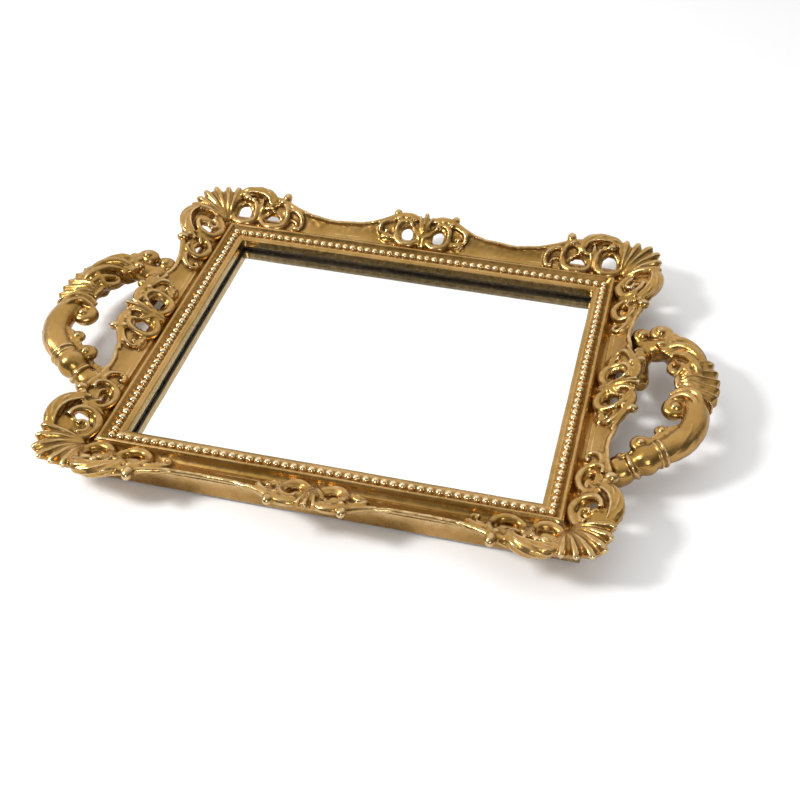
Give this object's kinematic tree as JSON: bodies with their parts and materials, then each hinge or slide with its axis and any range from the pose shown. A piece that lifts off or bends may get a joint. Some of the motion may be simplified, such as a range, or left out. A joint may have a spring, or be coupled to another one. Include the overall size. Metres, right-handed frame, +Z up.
{
  "type": "vanity tray",
  "caption": "Rectangular mirror tray in an ornate antique-gold frame with a beaded moulding, pierced corner scrolls and two scrolled acanthus handles.",
  "frame": {"origin": "bottom centre of the tray, on the table under its middle", "axes": "+X along the tray from handle to handle, +Y from front to back, +Z up"},
  "size_m": [0.378, 0.245, 0.03],
  "materials": {
    "gilded_resin": "cast resin in antique gold leaf paint, darker in the recesses",
    "mirror_glass": "clear float glass",
    "silvering": "silvered and painted back",
    "foam": "thin closed-cell foam",
    "hardboard": "brown hardboard",
    "zinc_steel": "zinc-plated sheet steel",
    "screw_steel": "zinc-plated screw",
    "dowel_steel": "plain steel pin",
    "felt": "black needled felt",
    "foot_felt": "dark felt pad"
  },
  "bodies": {
    "root": {"tray_frame": "gilded_resin", "handle_left": "gilded_resin", "handle_right": "gilded_resin", "dowel_left_front": "dowel_steel", "dowel_left_back": "dowel_steel", "dowel_right_front": "dowel_steel", "dowel_right_back": "dowel_steel", "mirror_glass": "mirror_glass", "mirror_silvering": "silvering", "cushion_sheet": "foam", "backing_board": "hardboard", "retaining_clips": "zinc_steel", "clip_screws": "screw_steel", "base_felt": "felt", "foot_front_left": "foot_felt", "foot_front_right": "foot_felt", "foot_back_left": "foot_felt", "foot_back_right": "foot_felt"}
  },
  "joints": []
}
